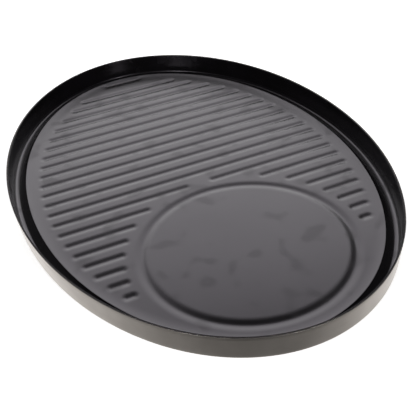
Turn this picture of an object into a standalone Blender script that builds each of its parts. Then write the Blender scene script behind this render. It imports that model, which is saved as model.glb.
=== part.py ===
"""Oval griddle plate for a camping stove: a coated pan nested in a bare metal skirt.

Metres, +Z up. The origin is the middle of the oval, on the plane that the plate
stands on. +X runs along the oval's long axis, towards the round zone.
"""
import math

import bmesh
import bpy
from mathutils import Matrix, Vector

# Outline of the mouth, and its height over the table
LENGTH = 0.410
WIDTH = 0.287
HEIGHT = 0.020

# The two sheets and the gap between them
SKIRT_SHEET = 0.0005
PAN_SHEET = 0.0006
SHELL_GAP = 0.0003

# Wall: its lean from upright, the bend at its foot, and the width of the ring that is
# turned in under it, on which the plate stands
WALL_LEAN = math.radians(4.7)
FOOT_BEND = 0.0028
FOOT_RING = 0.0090

# Cooking surface: its depth under the mouth, how far in from the mouth's outline it and
# the moat's floor end, and the bends of the slope between them
COOKING_DEPTH = 0.0158
SURFACE_INSET = 0.0127
MOAT_FLOOR_INSET = 0.0065
SLOPE_BEND = 0.0040

# Round zone: a ring groove, placed by its gap to the surface's +X end
RING_RADIUS = 0.0755
RING_EDGE_GAP = 0.0127
RING_WIDTH = 0.0110
RING_BOTTOM = 0.0012
RING_DEPTH = 0.0008

# Grooves across the oval: where the even pitch starts from the surface's -X end, how far
# the first groove lies behind its place in it, half the length of the first two, and how
# far the bottoms of the others end from the surface's edge, which is most at the rear,
# towards -X, and least at the front, and from the ring
GROOVE_FIRST_GAP = 0.0114
GROOVE_FIRST_SHIFT = 0.0045
GROOVE_FIRST_REACH = 0.0140
GROOVE_SECOND_REACH = 0.0450
GROOVE_PITCH = 0.01404
GROOVE_WIDTH = 0.0092
GROOVE_BOTTOM = 0.0012
GROOVE_DEPTH = 0.0008
GROOVE_REAR_GAP = 0.0155
GROOVE_FRONT_GAP = 0.0101
GROOVE_RING_GAP = 0.0137
GROOVE_SHORTEST = 0.0010
GROOVE_LEAST_SPLIT = 0.0100

# How far a groove's shape reaches out of the face that it cuts or joins
GROOVE_OVERLAP = 0.0003

# Facets
OVAL_SIDES = 80
BEND_STEPS = 2
GROOVE_SIDES = 12
RING_STEPS = 60


def clear_scene():
    """Remove whatever the file opened with."""
    for item in list(bpy.data.objects):
        bpy.data.objects.remove(item, do_unlink=True)


def make_collection(name):
    """Return a new collection, linked to the scene."""
    group = bpy.data.collections.new(name)
    bpy.context.scene.collection.children.link(group)
    return group


def make_material(name, colour, roughness, metallic):
    """Return a plain Principled material."""
    material = bpy.data.materials.new(name)
    material.use_nodes = True
    shader = material.node_tree.nodes["Principled BSDF"]
    shader.inputs["Base Color"].default_value = (*colour, 1.0)
    shader.inputs["Roughness"].default_value = roughness
    shader.inputs["Metallic"].default_value = metallic
    return material


def make_object(name, bm, group):
    """Turn a bmesh into a named object in a collection."""
    mesh = bpy.data.meshes.new(name)
    bm.to_mesh(mesh)
    bm.free()
    item = bpy.data.objects.new(name, mesh)
    group.objects.link(item)
    return item


def wall_corners(depth_in_wall):
    """Mouth and foot corner of a face that lies this deep inside the skirt's outer face.

    A point is (inset from the mouth's outline, height).
    """
    lean_sine = math.sin(WALL_LEAN)
    lean_cosine = math.cos(WALL_LEAN)
    mouth = Vector((depth_in_wall / lean_cosine, HEIGHT))
    drop = HEIGHT - depth_in_wall
    foot = Vector(((depth_in_wall + drop * lean_sine) / lean_cosine, depth_in_wall))
    return [mouth, foot]


def bend_corner(before, corner, after, radius):
    """Replace a corner by points along an arc that is tangent to both of its lines."""
    to_before = (before - corner).normalized()
    to_after = (after - corner).normalized()
    half_angle = to_before.angle(to_after) / 2
    centre = corner + (to_before + to_after).normalized() * (radius / math.sin(half_angle))
    reach = radius / math.tan(half_angle)
    first = corner + to_before * reach - centre
    turn = first.angle_signed(corner + to_after * reach - centre)
    points = []
    for step in range(BEND_STEPS + 1):
        angle = -turn * step / BEND_STEPS
        points.append(centre + Matrix.Rotation(angle, 2) @ first)
    return points


def bend_path(corners, radii):
    """Bend each inner corner of a path by its radius."""
    points = [corners[0]]
    for index, radius in enumerate(radii, start=1):
        points += bend_corner(corners[index - 1], corners[index], corners[index + 1], radius)
    points.append(corners[-1])
    return points


def oval_loop(bm, inset, height):
    """Add one ring of vertices: the mouth's outline drawn in by an inset."""
    loop = []
    for step in range(OVAL_SIDES):
        angle = math.tau * step / OVAL_SIDES
        x = (LENGTH / 2 - inset) * math.cos(angle)
        y = (WIDTH / 2 - inset) * math.sin(angle)
        loop.append(bm.verts.new((x, y, height)))
    return loop


def loft_ovals(path, closed_middle):
    """Loft ovals of unlike proportions along a path; faces look into the dish."""
    bm = bmesh.new()
    loops = [oval_loop(bm, inset, height) for inset, height in path]
    for outer, inner in zip(loops, loops[1:]):
        for step in range(OVAL_SIDES):
            after = (step + 1) % OVAL_SIDES
            bm.faces.new((outer[step], outer[after], inner[after], inner[step]))
    if closed_middle:
        bm.faces.new(loops[-1])
    return bm


def thicken(item, sheet):
    """Give a shell's inner face its sheet thickness, outwards and downwards."""
    solid = item.modifiers.new("sheet", "SOLIDIFY")
    solid.thickness = sheet
    solid.offset = -1.0
    solid.use_even_offset = True


def boolean(item, other, operation):
    """Join or cut an object with another one that stays live."""
    step = item.modifiers.new(other.name, "BOOLEAN")
    step.operation = operation
    step.object = other
    step.solver = "EXACT"


def hide_helper(item):
    """Mark an object as a cutter or a guide."""
    item.hide_render = True
    item.display_type = "WIRE"


def smooth(item):
    """Shade a turned or bent piece smooth between its real edges."""
    item.data.shade_smooth()
    item.data.set_sharp_from_angle(angle=math.radians(40))


def surface_height():
    """Height of the flat cooking surface."""
    return HEIGHT - COOKING_DEPTH


def surface_end():
    """Half the length of the flat cooking surface."""
    return LENGTH / 2 - SURFACE_INSET


def ring_centre():
    """Place of the ring's centre on the long axis."""
    return surface_end() - RING_EDGE_GAP - RING_RADIUS


def groove_reach(x):
    """Half the length of the groove at x: its ends keep a gap to the surface's edge."""
    length = surface_end()
    width = WIDTH / 2 - SURFACE_INSET
    low = 0.0
    high = math.pi
    for _ in range(40):
        angle = (low + high) / 2
        edge = Vector((length * math.cos(angle), width * math.sin(angle)))
        outwards = Vector((width * math.cos(angle), length * math.sin(angle))).normalized()
        forwards = (1 + math.cos(angle)) / 2
        gap = GROOVE_REAR_GAP + (GROOVE_FRONT_GAP - GROOVE_REAR_GAP) * forwards
        end = edge - outwards * gap
        if end.x > x:
            low = angle
        else:
            high = angle
    return end.y


def groove_split(x):
    """Half the gap that the ring leaves in a groove at x, or nothing where it clears it."""
    clear = RING_RADIUS + GROOVE_RING_GAP
    off_centre = abs(x - ring_centre())
    if off_centre >= clear:
        return 0.0
    return max(math.sqrt(clear * clear - off_centre * off_centre), GROOVE_LEAST_SPLIT)


def groove_runs():
    """Yield the x and both ends of every groove's bottom."""
    first = GROOVE_FIRST_GAP - surface_end()
    count = int((surface_end() - first) / GROOVE_PITCH) + 1
    for index in range(count):
        x = first + index * GROOVE_PITCH
        reach = groove_reach(x)
        if index == 0:
            x -= GROOVE_FIRST_SHIFT
            reach = GROOVE_FIRST_REACH
        elif index == 1:
            reach = GROOVE_SECOND_REACH
        split = groove_split(x)
        if reach - split < GROOVE_SHORTEST:
            continue
        if split == 0.0:
            yield x, -reach, reach
        else:
            yield x, -reach, -split
            yield x, split, reach


def add_groove(bm, x, start, end):
    """Add one groove's shape: an upturned frustum whose halves are drawn apart."""
    flank = (GROOVE_WIDTH - GROOVE_BOTTOM) / 2 / GROOVE_DEPTH
    top_radius = GROOVE_WIDTH / 2 + GROOVE_OVERLAP * flank
    depth = GROOVE_DEPTH + GROOVE_OVERLAP
    middle = surface_height() + GROOVE_OVERLAP - depth / 2
    half_turn = Matrix.Rotation(math.pi / GROOVE_SIDES, 4, "Z")
    place = Matrix.Translation((x, (start + end) / 2, middle)) @ half_turn
    made = bmesh.ops.create_cone(
        bm, cap_ends=True, segments=GROOVE_SIDES, radius1=GROOVE_BOTTOM / 2,
        radius2=top_radius, depth=depth, matrix=place)
    for vert in made["verts"]:
        away = 1 if vert.co.y > (start + end) / 2 else -1
        vert.co.y += away * (end - start) / 2


def add_ring_groove(bm):
    """Add the ring groove's shape: its section carried once round the round zone."""
    flank = (RING_WIDTH - RING_BOTTOM) / 2 / RING_DEPTH
    lip = RING_WIDTH / 2 + GROOVE_OVERLAP * flank
    top = surface_height() + GROOVE_OVERLAP
    bottom = surface_height() - RING_DEPTH
    section = [(lip, top), (RING_BOTTOM / 2, bottom), (-RING_BOTTOM / 2, bottom), (-lip, top)]
    middle = ring_centre() + RING_RADIUS
    verts = [bm.verts.new((middle + out, 0, up)) for out, up in section]
    edges = [bm.edges.new((verts[index], verts[index - 1])) for index in range(len(verts))]
    bmesh.ops.spin(
        bm, geom=verts + edges, cent=(ring_centre(), 0, 0), axis=(0, 0, 1), angle=math.tau,
        steps=RING_STEPS, use_merge=True)
    bmesh.ops.recalc_face_normals(bm, faces=bm.faces)


def make_grooves(name, drop, helpers):
    """Make the shapes of all grooves and the ring as one helper, lowered by a drop."""
    bm = bmesh.new()
    add_ring_groove(bm)
    for x, start, end in groove_runs():
        add_groove(bm, x, start, end)
    bmesh.ops.translate(bm, verts=bm.verts, vec=(0, 0, -drop))
    grooves = make_object(name, bm, helpers)
    hide_helper(grooves)
    return grooves


def make_skirt(parts):
    """Bare wall, with a flat ring turned in under the plate."""
    mouth, foot = wall_corners(SKIRT_SHEET)
    ring_end = Vector((foot.x + FOOT_RING, foot.y))
    path = bend_path([mouth, foot, ring_end], [FOOT_BEND - SKIRT_SHEET])
    skirt = make_object("outer_skirt", loft_ovals(path, closed_middle=False), parts)
    thicken(skirt, SKIRT_SHEET)
    smooth(skirt)
    skirt.data.materials.append(make_material("satin_metal", (0.55, 0.53, 0.50), 0.35, 1.0))


def make_pan(parts, helpers):
    """Coated pan: inner wall, moat, and the cooking surface with its pressed grooves."""
    depth_in_wall = SKIRT_SHEET + SHELL_GAP + PAN_SHEET
    mouth, foot = wall_corners(depth_in_wall)
    slope_foot = Vector((MOAT_FLOOR_INSET, foot.y))
    slope_top = Vector((SURFACE_INSET, surface_height()))
    inside = Vector((SURFACE_INSET + SLOPE_BEND, surface_height()))
    path = bend_path([mouth, foot, slope_foot, slope_top, inside],
                     [FOOT_BEND - depth_in_wall, SLOPE_BEND, SLOPE_BEND])
    pan = make_object("griddle_pan", loft_ovals(path, closed_middle=True), parts)
    thicken(pan, PAN_SHEET)
    boolean(pan, make_grooves("groove_backs", PAN_SHEET, helpers), "UNION")
    boolean(pan, make_grooves("groove_cuts", 0.0, helpers), "DIFFERENCE")
    smooth(pan)
    pan.data.materials.append(make_material("black_coating", (0.02, 0.019, 0.021), 0.35, 0.0))


clear_scene()
griddle_plate = make_collection("griddle_plate")
helper_shapes = make_collection("helper_shapes")
make_skirt(griddle_plate)
make_pan(griddle_plate, helper_shapes)
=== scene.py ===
"""Oval camping griddle plate: a black-coated pressed pan, nested in a bare metal skirt."""
import math

import bmesh
import bpy
from mathutils import Matrix, Vector
from mathutils.geometry import delaunay_2d_cdt


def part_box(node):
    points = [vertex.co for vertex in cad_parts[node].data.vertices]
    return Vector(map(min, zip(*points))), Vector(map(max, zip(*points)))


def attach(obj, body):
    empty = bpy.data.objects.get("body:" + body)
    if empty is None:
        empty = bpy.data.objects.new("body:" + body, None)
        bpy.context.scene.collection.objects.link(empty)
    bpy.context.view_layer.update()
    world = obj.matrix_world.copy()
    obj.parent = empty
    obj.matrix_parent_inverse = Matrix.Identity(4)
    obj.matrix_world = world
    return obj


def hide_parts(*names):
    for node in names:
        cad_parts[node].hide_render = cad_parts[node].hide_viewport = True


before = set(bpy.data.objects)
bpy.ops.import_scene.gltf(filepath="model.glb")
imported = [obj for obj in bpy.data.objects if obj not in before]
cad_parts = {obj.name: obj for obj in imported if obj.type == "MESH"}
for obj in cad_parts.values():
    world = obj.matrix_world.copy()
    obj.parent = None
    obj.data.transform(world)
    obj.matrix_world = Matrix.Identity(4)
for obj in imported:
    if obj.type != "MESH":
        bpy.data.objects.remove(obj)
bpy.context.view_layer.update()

# Camera. It stands half a metre off, before the end with the round zone, and looks down
# across the plate, so that the far end's wall shows its coated inner face.
CAMERA_PLACE = (0.4536, -0.1577, 0.3268)
CAMERA_TURN = (53.283, 4.048, 66.736)
CAMERA_LENS = 62.03
CAMERA_SENSOR = 36.0

camera_data = bpy.data.cameras.new("camera")
camera_data.sensor_width = CAMERA_SENSOR
camera_data.lens = CAMERA_LENS
camera = bpy.data.objects.new("camera", camera_data)
camera.location = CAMERA_PLACE
camera.rotation_euler = [math.radians(turn) for turn in CAMERA_TURN]
bpy.context.scene.collection.objects.link(camera)
bpy.context.scene.camera = camera
bpy.context.scene.view_settings.view_transform = "Standard"

# Table. A wide sheet of matt white paper under the plate, which runs on to the horizon. It
# keeps the plate's own shadow, and its glow rises from near the plate until it is white.
TABLE_RADIUS = 4.0
TABLE_SIDES = 96
TABLE_DROP = 0.0002
TABLE_COLOUR = "#f6f6f5"
WHITE = (1.0, 1.0, 1.0, 1.0)
NEAR_GLOW = 0.78
NEAR_REACH = 0.6
FAR_REACH = 1.6


def srgb(code):
    """Turn a hex colour, as it is seen on a screen, into linear red, green, blue, alpha."""
    channels = [int(code[start:start + 2], 16) / 255 for start in (1, 3, 5)]
    linear = [c / 12.92 if c <= 0.04045 else ((c + 0.055) / 1.055) ** 2.4 for c in channels]
    return (*linear, 1.0)


def socket_of(sockets, key):
    """Find a socket by its index, or the first one in use by its name."""
    if isinstance(key, int):
        return sockets[key]
    return next(socket for socket in sockets if socket.name == key and socket.enabled)


def add_node(tree, kind, settings=None, values=None, links=None):
    """Add a node with its settings, its inputs' values and the outputs linked to them."""
    node = tree.nodes.new(kind)
    for name, value in (settings or {}).items():
        setattr(node, name, value)
    for key, value in (values or {}).items():
        socket_of(node.inputs, key).default_value = value
    for key, source in (links or {}).items():
        tree.links.new(source, socket_of(node.inputs, key))
    return node


def link_object(name, mesh):
    """Put a mesh into the scene as a named object."""
    item = bpy.data.objects.new(name, mesh)
    bpy.context.scene.collection.objects.link(item)
    return item


def white_paper():
    """Plain white paper: matt, with no texture that shows at this distance.

    Mirror rays pass through it to the room, so that metal mirrors a bright back and a dim
    front. The camera sees it fade into the white of the room away from the plate's shadow.
    """
    material = bpy.data.materials.new("white_paper")
    material.use_nodes = True
    tree = material.node_tree
    shader = tree.nodes["Principled BSDF"]
    shader.inputs["Base Color"].default_value = srgb(TABLE_COLOUR)
    shader.inputs["Roughness"].default_value = 1.0
    shader.inputs["Specular IOR Level"].default_value = 0.0
    shader.inputs["Emission Color"].default_value = WHITE
    path = add_node(tree, "ShaderNodeLightPath")
    place = add_node(tree, "ShaderNodeTexCoord")
    away = add_node(tree, "ShaderNodeVectorMath", {"operation": "LENGTH"}, links={
        0: place.outputs["Object"]})
    level = add_node(tree, "ShaderNodeMapRange", values={
        "From Min": NEAR_REACH, "From Max": FAR_REACH, "To Min": NEAR_GLOW, "To Max": 1.0}, links={
        "Value": away.outputs["Value"]})
    glow = add_node(tree, "ShaderNodeMath", {"operation": "MULTIPLY"}, links={
        0: level.outputs["Result"], 1: path.outputs["Is Camera Ray"]})
    tree.links.new(glow.outputs[0], shader.inputs["Emission Strength"])
    clear = add_node(tree, "ShaderNodeBsdfTransparent")
    mixed = add_node(tree, "ShaderNodeMixShader", links={
        0: path.outputs["Is Glossy Ray"], 1: shader.outputs[0], 2: clear.outputs[0]})
    tree.links.new(mixed.outputs[0], tree.nodes["Material Output"].inputs["Surface"])
    return material


table_bm = bmesh.new()
bmesh.ops.create_circle(table_bm, cap_ends=True, segments=TABLE_SIDES, radius=TABLE_RADIUS)
table_mesh = bpy.data.meshes.new("table")
table_bm.to_mesh(table_mesh)
table_bm.free()
table_mesh.transform(Matrix.Translation((0, 0, -TABLE_DROP)))
table_mesh.materials.append(white_paper())
table = link_object("table", table_mesh)

# Light. Two softboxes behind the plate give the coating its sheen, and two small lamps stand
# low beside the camera. The studio is bright low down at the back and dim elsewhere. Turns
# from the back and raises are in degrees, distances and sides in metres.
BACK_AZIMUTH = 159.7
SOFTBOXES = {
    "back_softbox": {"turn": 0, "raise": 30, "away": 1.20, "wide": 1.25, "tall": 0.97, "glow": 2.5},
    "top_softbox": {"turn": 0, "raise": 59, "away": 1.18, "wide": 1.25, "tall": 0.40, "glow": 0.8},
    "left_lamp": {"turn": 148, "raise": 16, "away": 1.50, "wide": 0.25, "tall": 0.25, "glow": 30.0},
    "right_lamp": {"turn": -148, "raise": 16, "away": 1.50, "wide": 0.25, "tall": 0.25, "glow": 30.0},
}
ROOM_GLOW = 0.045
SWEEP_GLOW = 2.6
SWEEP_FALL = 2.2
SWEEP_TOP = 0.16


def add_softbox(name, box):
    """Hang a softbox that faces the plate; its glow is how bright its cloth looks."""
    lamp = bpy.data.lights.new(name, "AREA")
    lamp.shape = "RECTANGLE"
    lamp.size = box["wide"]
    lamp.size_y = box["tall"]
    lamp.energy = box["glow"] * math.pi * box["wide"] * box["tall"]
    azimuth = math.radians(BACK_AZIMUTH + box["turn"])
    height = math.radians(box["raise"])
    towards = Vector((
        math.cos(azimuth) * math.cos(height),
        math.sin(azimuth) * math.cos(height),
        math.sin(height)))
    item = bpy.data.objects.new(name, lamp)
    item.location = towards * box["away"]
    item.rotation_euler = towards.to_track_quat("Z", "Y").to_euler()
    bpy.context.scene.collection.objects.link(item)


def sweep_glow(tree):
    """Brightness of the room by direction: bright low down at the back, dim elsewhere."""
    azimuth = math.radians(BACK_AZIMUTH)
    back = (math.cos(azimuth), math.sin(azimuth), 0.0)
    looking = add_node(tree, "ShaderNodeTexCoord")
    facing = add_node(tree, "ShaderNodeVectorMath", {"operation": "DOT_PRODUCT"}, {1: back}, {
        0: looking.outputs["Generated"]})
    around = add_node(tree, "ShaderNodeMapRange", values={"From Min": -1.0}, links={
        "Value": facing.outputs["Value"]})
    rising = add_node(tree, "ShaderNodeMath", {"operation": "POWER"}, {1: SWEEP_FALL}, {
        0: around.outputs["Result"]})
    height = add_node(tree, "ShaderNodeSeparateXYZ", links={0: looking.outputs["Generated"]})
    low = add_node(tree, "ShaderNodeMapRange", {"interpolation_type": "SMOOTHSTEP"}, {
        "From Min": 0.0, "From Max": SWEEP_TOP, "To Min": 1.0, "To Max": 0.0}, {
        "Value": height.outputs["Z"]})
    sweep = add_node(tree, "ShaderNodeMath", {"operation": "MULTIPLY"}, links={
        0: rising.outputs[0], 1: low.outputs["Result"]})
    glow = add_node(tree, "ShaderNodeMath", {"operation": "MULTIPLY_ADD"}, {
        1: SWEEP_GLOW, 2: ROOM_GLOW}, {0: sweep.outputs[0]})
    return glow.outputs[0]


def studio_world():
    """The room round the table; the camera sees it as plain white."""
    world = bpy.data.worlds.new("studio")
    world.use_nodes = True
    tree = world.node_tree
    background = tree.nodes["Background"]
    background.inputs["Color"].default_value = WHITE
    path = add_node(tree, "ShaderNodeLightPath")
    strength = add_node(tree, "ShaderNodeMix", {"data_type": "FLOAT"}, {"B": 1.0}, {
        "Factor": path.outputs["Is Camera Ray"], "A": sweep_glow(tree)})
    tree.links.new(strength.outputs[0], background.inputs["Strength"])
    return world


for softbox_name, softbox in SOFTBOXES.items():
    add_softbox(softbox_name, softbox)
bpy.context.scene.world = studio_world()

# Outer skirt. The bare wall that is seen outside: a strip of satin sheet steel, drawn to
# the oval, whose foot is turned in under the pan as the ring that the plate stands on. The
# coating of the pan wraps over its top edge.
skirt_low, skirt_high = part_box("outer_skirt")
HALF_LENGTH = (skirt_high.x - skirt_low.x) / 2
HALF_WIDTH = (skirt_high.y - skirt_low.y) / 2
HEIGHT = skirt_high.z
SKIRT_SHEET = 0.0005
SHELL_GAP = 0.0003
WALL_LEAN = math.radians(4.7)
FOOT_BEND = 0.0028
FOOT_RING = 0.0090
RIM_ROUNDING = 0.00016
RIM_COATED = 0.00012
RIM_FACING = 0.6
RIM_SEGMENTS = 2
RIM_ANGLE = math.radians(60)
SHARP_ANGLE = math.radians(50)
OVAL_SIDES = 360
BEND_STEPS = 8
WALL_ROWS = 6
ROLL_LINE_PITCH = 0.000625
ROLL_LINE_LENGTH = 0.05556
PATCH_SIZE = 0.02222
COATING_CLOUD_SIZE = 0.04545
COATING_MARK_SIZE = 0.01333
COATING_PEEL_PITCH = 0.001111
CLOUD_RANGE = (0.35, 0.65)
SHEEN_RANGE = (0.3, 0.7)
MARK_RANGE = (0.6, 0.78)
MARK_DULLING = 0.1


def wall_corners(depth_in_wall):
    """Mouth and foot corner of a face this deep in the wall: inset from the rim, height."""
    mouth = Vector((depth_in_wall / math.cos(WALL_LEAN), HEIGHT))
    drop = HEIGHT - depth_in_wall
    foot_inset = (depth_in_wall + drop * math.sin(WALL_LEAN)) / math.cos(WALL_LEAN)
    return [mouth, Vector((foot_inset, depth_in_wall))]


def bend_corner(before, corner, after, radius):
    """Replace a corner by points along an arc that is tangent to both of its lines."""
    to_before = (before - corner).normalized()
    to_after = (after - corner).normalized()
    half_angle = to_before.angle(to_after) / 2
    centre = corner + (to_before + to_after).normalized() * (radius / math.sin(half_angle))
    reach = radius / math.tan(half_angle)
    first = corner + to_before * reach - centre
    turn = first.angle_signed(corner + to_after * reach - centre)
    points = []
    for step in range(BEND_STEPS + 1):
        points.append(centre + Matrix.Rotation(-turn * step / BEND_STEPS, 2) @ first)
    return points


def bend_path(corners, radii):
    """Bend each inner corner of a path by its radius."""
    points = [corners[0]]
    for index, radius in enumerate(radii, start=1):
        points += bend_corner(corners[index - 1], corners[index], corners[index + 1], radius)
    points.append(corners[-1])
    return points


def fill_straight(points, rows):
    """Divide the first straight of a path, so that the wall has rows of its own."""
    start, end = points[0], points[1]
    between = [start.lerp(end, row / rows) for row in range(rows)]
    return between + points[1:]


def oval_point(inset, step):
    """One of the points of the oval that is drawn in from the rim by an inset."""
    angle = math.tau * step / OVAL_SIDES
    x = (HALF_LENGTH - inset) * math.cos(angle)
    y = (HALF_WIDTH - inset) * math.sin(angle)
    return x, y


def add_loft(bm, path):
    """Loft ovals along a path of insets and heights; faces look into the dish."""
    loops = []
    for inset, height in path:
        ring = [(*oval_point(inset, step), height) for step in range(OVAL_SIDES)]
        loops.append([bm.verts.new(place) for place in ring])
    for outer, inner in zip(loops, loops[1:]):
        for step in range(OVAL_SIDES):
            after = (step + 1) % OVAL_SIDES
            bm.faces.new((outer[step], outer[after], inner[after], inner[step]))


def finish_sheet(item, sheet, rounding, back_slot):
    """Give a shell its sheet thickness outwards, and break the sharp edges of its rims."""
    solid = item.modifiers.new("sheet", "SOLIDIFY")
    solid.thickness = sheet
    solid.offset = -1.0
    solid.material_offset = back_slot
    edge = item.modifiers.new("rim", "BEVEL")
    edge.width = rounding
    edge.segments = RIM_SEGMENTS
    edge.limit_method = "ANGLE"
    edge.angle_limit = RIM_ANGLE


def make_plain(item):
    """Turn an object's modifiers into its mesh, shaded smooth, and remove them."""
    graph = bpy.context.evaluated_depsgraph_get()
    mesh = bpy.data.meshes.new_from_object(item.evaluated_get(graph))
    item.modifiers.clear()
    item.data = mesh
    mesh.shade_smooth()
    mesh.set_sharp_from_angle(angle=SHARP_ANGLE)


def coat_rim(item, slot):
    """Give the top of a sheet's rim the coating, which wraps over the mouth."""
    for polygon in item.data.polygons:
        if polygon.center.z > HEIGHT - RIM_COATED and polygon.normal.z > RIM_FACING:
            polygon.material_index = slot


def satin_steel():
    """Bare cold-rolled sheet steel with a satin finish.

    The roll leaves fine lines along the strip, drawn about 0.6 mm apart so that they show,
    which vary its sheen, and handling leaves faint patches about 22 mm wide.
    """
    material = bpy.data.materials.new("satin_steel")
    material.use_nodes = True
    tree = material.node_tree
    shader = tree.nodes["Principled BSDF"]
    shader.inputs["Metallic"].default_value = 1.0
    place = add_node(tree, "ShaderNodeTexCoord")
    patches = add_node(tree, "ShaderNodeTexNoise", values={
        "Scale": 1 / PATCH_SIZE, "Detail": 4.0}, links={"Vector": place.outputs["Object"]})
    line_scale = (1 / ROLL_LINE_LENGTH, 1 / ROLL_LINE_LENGTH, 1 / ROLL_LINE_PITCH)
    stretch = add_node(tree, "ShaderNodeMapping", values={"Scale": line_scale}, links={
        "Vector": place.outputs["Object"]})
    lines = add_node(tree, "ShaderNodeTexNoise", values={"Scale": 1.0, "Detail": 3.0}, links={
        "Vector": stretch.outputs["Vector"]})
    colour = add_node(tree, "ShaderNodeValToRGB", links={"Fac": patches.outputs["Fac"]})
    colour.color_ramp.elements[0].position = CLOUD_RANGE[0]
    colour.color_ramp.elements[0].color = srgb("#b3aca5")
    colour.color_ramp.elements[1].position = CLOUD_RANGE[1]
    colour.color_ramp.elements[1].color = srgb("#bfb8b1")
    tree.links.new(colour.outputs["Color"], shader.inputs["Base Color"])
    roughness = add_node(tree, "ShaderNodeMapRange", values={
        "From Min": SHEEN_RANGE[0], "From Max": SHEEN_RANGE[1], "To Min": 0.36, "To Max": 0.44},
        links={"Value": lines.outputs["Fac"]})
    tree.links.new(roughness.outputs["Result"], shader.inputs["Roughness"])
    bump = add_node(tree, "ShaderNodeBump", values={"Strength": 0.25, "Distance": 0.00002}, links={
        "Height": lines.outputs["Fac"]})
    tree.links.new(bump.outputs["Normal"], shader.inputs["Normal"])
    return material


def black_coating(name, roughness, spread, specular):
    """Black non-stick coating, sprayed on and baked.

    It is satin, a little pitted like orange peel about every millimetre. Its sheen varies in
    clouds about 45 mm wide, and in dull marks of about 13 mm where food has rubbed it.
    """
    material = bpy.data.materials.new(name)
    material.use_nodes = True
    tree = material.node_tree
    shader = tree.nodes["Principled BSDF"]
    shader.inputs["Specular IOR Level"].default_value = specular
    shader.inputs["Specular Tint"].default_value = srgb("#fbf2ff")
    place = add_node(tree, "ShaderNodeTexCoord")
    clouds = add_node(tree, "ShaderNodeTexNoise", values={
        "Scale": 1 / COATING_CLOUD_SIZE, "Detail": 3.0}, links={"Vector": place.outputs["Object"]})
    marks = add_node(tree, "ShaderNodeTexNoise", values={
        "Scale": 1 / COATING_MARK_SIZE, "Detail": 0.0}, links={"Vector": place.outputs["Object"]})
    peel = add_node(tree, "ShaderNodeTexNoise", values={
        "Scale": 1 / COATING_PEEL_PITCH, "Detail": 2.0}, links={"Vector": place.outputs["Object"]})
    colour = add_node(tree, "ShaderNodeValToRGB", links={"Fac": clouds.outputs["Fac"]})
    colour.color_ramp.elements[0].position = CLOUD_RANGE[0]
    colour.color_ramp.elements[0].color = srgb("#0f0e0f")
    colour.color_ramp.elements[1].position = CLOUD_RANGE[1]
    colour.color_ramp.elements[1].color = srgb("#141215")
    tree.links.new(colour.outputs["Color"], shader.inputs["Base Color"])
    cloudy = add_node(tree, "ShaderNodeMapRange", values={
        "From Min": SHEEN_RANGE[0], "From Max": SHEEN_RANGE[1],
        "To Min": roughness, "To Max": roughness + spread}, links={
        "Value": clouds.outputs["Fac"]})
    dull = add_node(tree, "ShaderNodeMapRange", {"interpolation_type": "SMOOTHSTEP"}, {
        "From Min": MARK_RANGE[0], "From Max": MARK_RANGE[1],
        "To Min": 0.0, "To Max": MARK_DULLING}, {
        "Value": marks.outputs["Fac"]})
    total = add_node(tree, "ShaderNodeMath", {"operation": "ADD"}, links={
        0: cloudy.outputs["Result"], 1: dull.outputs["Result"]})
    tree.links.new(total.outputs[0], shader.inputs["Roughness"])
    bump = add_node(tree, "ShaderNodeBump", values={"Strength": 0.3, "Distance": 0.00003}, links={
        "Height": peel.outputs["Fac"]})
    tree.links.new(bump.outputs["Normal"], shader.inputs["Normal"])
    return material


bare_steel = satin_steel()
coating = black_coating("black_nonstick_coating", roughness=0.29, spread=0.04, specular=0.5)
skirt_mouth, skirt_foot = wall_corners(SKIRT_SHEET)
ring_end = Vector((skirt_foot.x + FOOT_RING, skirt_foot.y))
skirt_path = bend_path([skirt_mouth, skirt_foot, ring_end], [FOOT_BEND - SKIRT_SHEET])
skirt_bm = bmesh.new()
add_loft(skirt_bm, fill_straight(skirt_path, WALL_ROWS))
skirt_mesh = bpy.data.meshes.new("wall_skirt")
skirt_bm.to_mesh(skirt_mesh)
skirt_bm.free()
skirt = link_object("wall_skirt", skirt_mesh)
finish_sheet(skirt, SKIRT_SHEET, RIM_ROUNDING, back_slot=0)
make_plain(skirt)
skirt.data.materials.append(bare_steel)
skirt.data.materials.append(coating)
coat_rim(skirt, slot=1)
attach(skirt, "root")
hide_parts("outer_skirt")

# Pressed pan. One sheet of steel pressed in a die: the steep inner wall, the drip moat, and
# the cooking surface with rows of grooves across it and a ring groove round the flat zone
# for a pot. Its upper face has a black non-stick coating, and its back is bare.
PAN_SHEET = 0.0006
COOKING_DEPTH = 0.0158
SURFACE_INSET = 0.0127
MOAT_WALL_BEND = 0.0026
MOAT_FLOOR_INSET = 0.0065
MOAT_SLOPE_BEND = 0.0014
EDGE_BEND = 0.0016
LIP_RISE = 0.0009
LIP_WIDTH = 0.0110
LIP_CURVE = 3
LIP_LINES = 5
REAR_RISE = 0.0004
REAR_WIDTH = 0.0220
REAR_CURVE = 4
RING_RADIUS = 0.0755
RING_EDGE_GAP = 0.0127
RING_WIDTH = 0.0148
RING_DEPTH = 0.00090
RING_SHARPNESS = 1.8
FLOOR_CROWN = 0.0007
GROOVE_FIRST_GAP = 0.0114
FIRST_SHIFT = -0.0052
FIRST_REACH = 0.0150
FIRST_WIDTH = 0.0160
FIRST_DEPTH = 0.00085
SECOND_SHIFT = 0.0012
SECOND_REACH = 0.0450
GROOVE_PITCH = 0.01404
GROOVE_WIDTH = 0.0122
GROOVE_DEPTH = 0.00082
GROOVE_SHARPNESS = 1.9
GROOVE_REAR_GAP = 0.0155
GROOVE_FRONT_GAP = 0.0101
GROOVE_RING_GAP = 0.0137
GROOVE_SHORTEST = 0.0010
GROOVE_LEAST_SPLIT = 0.0100
CONTOUR_STEPS = 9
POINT_SPACING = 0.0040
END_SIDES = 18
RING_SIDES = 240
LEAST_COUNT = 4
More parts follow.
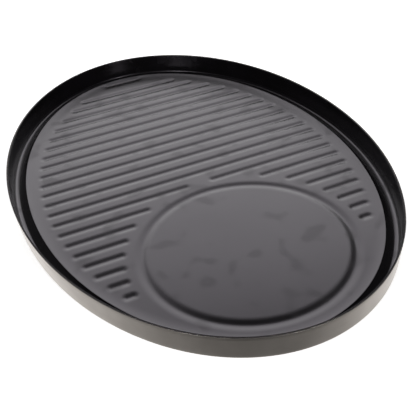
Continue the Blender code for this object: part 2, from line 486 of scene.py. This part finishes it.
MERGE_DISTANCE = 0.00008
SEAM_DISTANCE = 0.000001
EDGE_CLEAR = 0.0012
FLOOR_RINGS = 6
HALVINGS = 40
SHADED_WALL_SLOT = 1
BACK_SLOT = 2
FIRST_CONTOURS = 2 * GROOVE_PITCH - GROOVE_WIDTH
SURFACE_HEIGHT = HEIGHT - COOKING_DEPTH
SURFACE_END = HALF_LENGTH - SURFACE_INSET
SURFACE_SIDE = HALF_WIDTH - SURFACE_INSET
RING_X = SURFACE_END - RING_EDGE_GAP - RING_RADIUS


def groove_reach(x):
    """Half the length of the groove at x: its ends keep a gap to the surface's edge.

    The gap is widest at the rear, and the place along the edge is found by halving.
    """
    low, high = 0.0, math.pi
    for _ in range(HALVINGS):
        angle = (low + high) / 2
        edge = Vector((SURFACE_END * math.cos(angle), SURFACE_SIDE * math.sin(angle)))
        outwards = Vector((SURFACE_SIDE * math.cos(angle), SURFACE_END * math.sin(angle)))
        forwards = (1 + math.cos(angle)) / 2
        gap = GROOVE_REAR_GAP + (GROOVE_FRONT_GAP - GROOVE_REAR_GAP) * forwards
        end = edge - outwards.normalized() * gap
        if end.x > x:
            low = angle
        else:
            high = angle
    return end.y


def groove_split(x):
    """Half the gap that the ring leaves in a groove at x, or nothing where it clears it."""
    clear = RING_RADIUS + GROOVE_RING_GAP
    off_centre = abs(x - RING_X)
    if off_centre >= clear:
        return 0.0
    return max(math.sqrt(clear * clear - off_centre * off_centre), GROOVE_LEAST_SPLIT)


def groove_runs():
    """List the x and both ends of every groove's bottom, the rearmost first."""
    first = GROOVE_FIRST_GAP - SURFACE_END
    runs = []
    for index in range(int((SURFACE_END - first) / GROOVE_PITCH) + 1):
        x = first + index * GROOVE_PITCH
        reach = groove_reach(x)
        if index == 0:
            x, reach = x + FIRST_SHIFT, FIRST_REACH
        elif index == 1:
            x, reach = x + SECOND_SHIFT, SECOND_REACH
        split = groove_split(x)
        if reach - split < GROOVE_SHORTEST:
            continue
        if split == 0.0:
            runs.append((x, -reach, reach))
        else:
            runs.append((x, -reach, -split))
            runs.append((x, split, reach))
    return runs


def contour_distances(width):
    """Distances from a groove's bottom line at which the sheet has a line of points."""
    return [width / 2 * (step / CONTOUR_STEPS) for step in range(1, CONTOUR_STEPS + 1)]


def groove_outline(x, start, end, distance):
    """Closed line of points round a groove's bottom line, at one distance from it."""
    points = []
    count = max(1, round((end - start) / POINT_SPACING))
    turns = max(LEAST_COUNT, round(END_SIDES * distance / (GROOVE_WIDTH / 2)))
    for side, foot, head in ((1, start, end), (-1, end, start)):
        for step in range(count):
            points.append(Vector((x + side * distance, foot + (head - foot) * step / count)))
        for step in range(turns):
            angle = math.pi * step / turns
            points.append(Vector((
                x + side * distance * math.cos(angle), head + side * distance * math.sin(angle))))
    return points


def circle_points(radius, sides):
    """Closed line of points round the ring's centre."""
    angles = [math.tau * step / sides for step in range(sides)]
    return [Vector((RING_X + radius * math.cos(a), radius * math.sin(a))) for a in angles]


def inset_of(x, y):
    """Inset of the oval that runs through a point, found by halving."""
    low, high = 0.0, HALF_WIDTH
    for _ in range(HALVINGS):
        inset = (low + high) / 2
        if math.hypot(x / (HALF_LENGTH - inset), y / (HALF_WIDTH - inset)) < 1.0:
            low = inset
        else:
            high = inset
    return low


def drawn_height(x, y):
    """Height of the surface before the grooves: a lip at its edge, a crown in the ring."""
    from_edge = inset_of(x, y) - SURFACE_INSET
    lip = LIP_RISE * max(0.0, 1.0 - from_edge / LIP_WIDTH) ** LIP_CURVE
    off_centre = math.hypot(x - RING_X, y) / RING_RADIUS
    crown = FLOOR_CROWN * max(0.0, 1.0 - off_centre ** 2)
    return SURFACE_HEIGHT + lip + crown


def bottom_line(x, start, end):
    """Points along a groove's bottom, from one end to the other."""
    count = max(1, round((end - start) / POINT_SPACING))
    return [Vector((x, start + (end - start) * step / count)) for step in range(count + 1)]


def rear_camber(x, y):
    """Rise of the surface towards its rear edge, where the sheet springs up after pressing."""
    rear = max(0.0, -x / SURFACE_END)
    inset = inset_of(x, y)
    if inset < SURFACE_INSET:
        share = max(0.0, (inset - MOAT_FLOOR_INSET) / (SURFACE_INSET - MOAT_FLOOR_INSET))
    else:
        share = max(0.0, 1.0 - (inset - SURFACE_INSET) / REAR_WIDTH) ** 2
    return REAR_RISE * rear ** REAR_CURVE * share


def surface_lines():
    """Closed lines that the sheet's points lie on, the surface's edge first."""
    edge_inset = SURFACE_INSET + EDGE_BEND
    lines = []
    for step in range(LIP_LINES):
        inset = edge_inset + (LIP_WIDTH - EDGE_BEND) * step / LIP_LINES
        lines.append([Vector(oval_point(inset, side)) for side in range(OVAL_SIDES)])
    lines.append(circle_points(RING_RADIUS, RING_SIDES))
    for distance in contour_distances(RING_WIDTH):
        lines.append(circle_points(RING_RADIUS - distance, RING_SIDES))
        lines.append(circle_points(RING_RADIUS + distance, RING_SIDES))
    inner = RING_RADIUS - RING_WIDTH / 2
    for step in range(1, FLOOR_RINGS):
        radius = inner * step / FLOOR_RINGS
        lines.append(circle_points(radius, RING_SIDES * step // FLOOR_RINGS))
    for run in groove_runs()[1:]:
        for distance in contour_distances(GROOVE_WIDTH):
            lines.append(groove_outline(*run, distance))
    return lines


def part_inside(line):
    """Open line with the points of a closed one that lie well inside the surface's edge."""
    least_inset = SURFACE_INSET + EDGE_BEND + EDGE_CLEAR
    inside = [inset_of(*point) > least_inset for point in line]
    if all(inside):
        return line + line[:1]
    first = next(step for step in range(len(line)) if inside[step] and not inside[step - 1])
    return (line[first:] + line[:first])[:inside.count(True)]


def open_lines():
    """Bottom lines of all grooves, and what the surface holds of the lines round the first."""
    runs = groove_runs()
    lines = [bottom_line(*run) for run in runs]
    for distance in contour_distances(FIRST_CONTOURS):
        lines.append(part_inside(groove_outline(*runs[0], distance)))
    return lines


def add_surface(bm):
    """Fill the cooking surface with triangles whose edges follow every line on it."""
    places = []
    edges = []
    for line in surface_lines():
        first = len(places)
        places += line
        count = len(line)
        edges += [(first + index, first + (index + 1) % count) for index in range(count)]
    for line in open_lines():
        first = len(places)
        places += line
        edges += [(first + index, first + index + 1) for index in range(len(line) - 1)]
    filled = delaunay_2d_cdt(places, edges, [], 0, MERGE_DISTANCE)
    verts = [bm.verts.new((*place, drawn_height(*place))) for place in filled[0]]
    for face in filled[2]:
        bm.faces.new([verts[index] for index in face])


def line_object(name, lines, closed):
    """Make an object of bare edges, which the pressing measures its distance from."""
    mesh = bpy.data.meshes.new(name)
    places = []
    edges = []
    for line in lines:
        first = len(places)
        places += [(*place, SURFACE_HEIGHT) for place in line]
        edges += [(first + index, first + index + 1) for index in range(len(line) - 1)]
        if closed:
            edges.append((first + len(line) - 1, first))
    mesh.from_pydata(places, edges, [])
    return link_object(name, mesh)


def pressing_tree():
    """Node tree that presses grooves into a sheet, deepest along the lines it is given."""
    tree = bpy.data.node_groups.new("press_grooves", "GeometryNodeTree")
    sockets = tree.interface
    sockets.new_socket("Sheet", in_out="INPUT", socket_type="NodeSocketGeometry")
    for name in ("Groove lines", "First line", "Ring line"):
        sockets.new_socket(name, in_out="INPUT", socket_type="NodeSocketObject")
    for name in ("Surface height", "Groove width", "Groove depth", "Groove sharpness",
                 "First width", "First depth", "First sharpness",
                 "Ring width", "Ring depth", "Ring sharpness"):
        sockets.new_socket(name, in_out="INPUT", socket_type="NodeSocketFloat")
    sockets.new_socket("Coating", in_out="INPUT", socket_type="NodeSocketMaterial")
    sockets.new_socket("Sheet", in_out="OUTPUT", socket_type="NodeSocketGeometry")
    given = add_node(tree, "NodeGroupInput").outputs
    place = add_node(tree, "GeometryNodeInputPosition")
    split = add_node(tree, "ShaderNodeSeparateXYZ", links={0: place.outputs[0]})
    level = add_node(tree, "ShaderNodeCombineXYZ", links={
        "X": split.outputs["X"], "Y": split.outputs["Y"], "Z": given["Surface height"]})
    deepest = None
    kinds = {"Groove": "Groove lines", "First": "First line", "Ring": "Ring line"}
    for kind, lines in kinds.items():
        target = add_node(tree, "GeometryNodeObjectInfo", links={"Object": given[lines]})
        near = add_node(tree, "GeometryNodeProximity", {"target_element": "EDGES"}, links={
            0: target.outputs["Geometry"], "Sample Position": level.outputs[0]})
        half = add_node(tree, "ShaderNodeMath", {"operation": "MULTIPLY"}, {1: 0.5}, {
            0: given[f"{kind} width"]})
        flank = add_node(tree, "ShaderNodeMapRange", {"interpolation_type": "SMOOTHSTEP"}, {
            "To Min": 1.0, "To Max": 0.0}, {
            "Value": near.outputs["Distance"], "From Max": half.outputs[0]})
        curved = add_node(tree, "ShaderNodeMath", {"operation": "POWER"}, links={
            0: flank.outputs["Result"], 1: given[f"{kind} sharpness"]})
        depth = add_node(tree, "ShaderNodeMath", {"operation": "MULTIPLY"}, links={
            0: curved.outputs[0], 1: given[f"{kind} depth"]})
        if deepest is None:
            deepest = depth
        else:
            deepest = add_node(tree, "ShaderNodeMath", {"operation": "MAXIMUM"}, links={
                0: depth.outputs[0], 1: deepest.outputs[0]})
    down = add_node(tree, "ShaderNodeMath", {"operation": "MULTIPLY"}, {1: -1.0}, {
        0: deepest.outputs[0]})
    push = add_node(tree, "ShaderNodeCombineXYZ", links={"Z": down.outputs[0]})
    pressed = add_node(tree, "GeometryNodeSetPosition", links={
        "Geometry": given["Sheet"], "Offset": push.outputs[0]})
    realised = add_node(tree, "GeometryNodeRealizeInstances", links={
        "Geometry": pressed.outputs[0]})
    coated = add_node(tree, "GeometryNodeSetMaterial", links={
        "Geometry": realised.outputs[0], "Material": given["Coating"]})
    add_node(tree, "NodeGroupOutput", links={"Sheet": coated.outputs[0]})
    return tree


pan_depth = SKIRT_SHEET + SHELL_GAP + PAN_SHEET
pan_mouth, pan_foot = wall_corners(pan_depth)
lip_top = SURFACE_HEIGHT + LIP_RISE
pan_corners = [
    pan_mouth,
    pan_foot,
    Vector((MOAT_FLOOR_INSET, pan_foot.y)),
    Vector((SURFACE_INSET, lip_top)),
    Vector((SURFACE_INSET + EDGE_BEND, drawn_height(SURFACE_END - EDGE_BEND, 0.0)))]
pan_path = bend_path(pan_corners, [MOAT_WALL_BEND, MOAT_SLOPE_BEND, EDGE_BEND / 2])
pan_bm = bmesh.new()
add_loft(pan_bm, fill_straight(pan_path, WALL_ROWS))
add_surface(pan_bm)
bmesh.ops.remove_doubles(pan_bm, verts=pan_bm.verts, dist=SEAM_DISTANCE)
for vert in pan_bm.verts:
    vert.co.z += rear_camber(vert.co.x, vert.co.y)
pan_mesh = bpy.data.meshes.new("pressed_pan")
pan_bm.to_mesh(pan_mesh)
pan_bm.free()
pan = link_object("pressed_pan", pan_mesh)
bottom_lines = [[Vector((x, start)), Vector((x, end))] for x, start, end in groove_runs()]
groove_lines = line_object("groove_lines", bottom_lines[1:], closed=False)
first_line = line_object("first_line", bottom_lines[:1], closed=False)
ring_line = line_object("ring_line", [circle_points(RING_RADIUS, RING_SIDES)], closed=True)
# Painted shade: the steep walls take a copy of the coating that is smoother and mirrors less.
shaded_wall_coating = black_coating("black_coating_with_painted_shade_on_walls", roughness=0.22, spread=0.04, specular=0.2)
pressing = pan.modifiers.new("pressing", "NODES")
pressing.node_group = pressing_tree()
pressing_inputs = {
    "Groove lines": groove_lines,
    "First line": first_line,
    "Ring line": ring_line,
    "Surface height": SURFACE_HEIGHT,
    "Groove width": GROOVE_WIDTH,
    "Groove depth": GROOVE_DEPTH,
    "Groove sharpness": GROOVE_SHARPNESS,
    "First width": FIRST_WIDTH,
    "First depth": FIRST_DEPTH,
    "First sharpness": GROOVE_SHARPNESS,
    "Ring width": RING_WIDTH,
    "Ring depth": RING_DEPTH,
    "Ring sharpness": RING_SHARPNESS,
    "Coating": coating,
}
for entry in pressing.node_group.interface.items_tree:
    if entry.in_out == "INPUT" and entry.name in pressing_inputs:
        pressing[entry.identifier] = pressing_inputs[entry.name]
make_plain(pan)
pan.data.materials.append(shaded_wall_coating)
pan.data.materials.append(bare_steel)
# Rings of faces are counted from the mouth: the wall, its bend, the moat's floor, its bend
# and then the slope up to the surface.
slope_ring = WALL_ROWS + 2 * BEND_STEPS + 1
# The wall and the moat's slope take the darker copy of the coating, as painted shade.
for polygon in pan.data.polygons:
    loft_ring = polygon.index // OVAL_SIDES
    if loft_ring < WALL_ROWS or loft_ring == slope_ring:
        polygon.material_index = SHADED_WALL_SLOT
finish_sheet(pan, PAN_SHEET, RIM_ROUNDING, BACK_SLOT)
make_plain(pan)
for guide in (groove_lines, first_line, ring_line):
    bpy.data.objects.remove(guide)
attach(pan, "root")
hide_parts("griddle_pan")
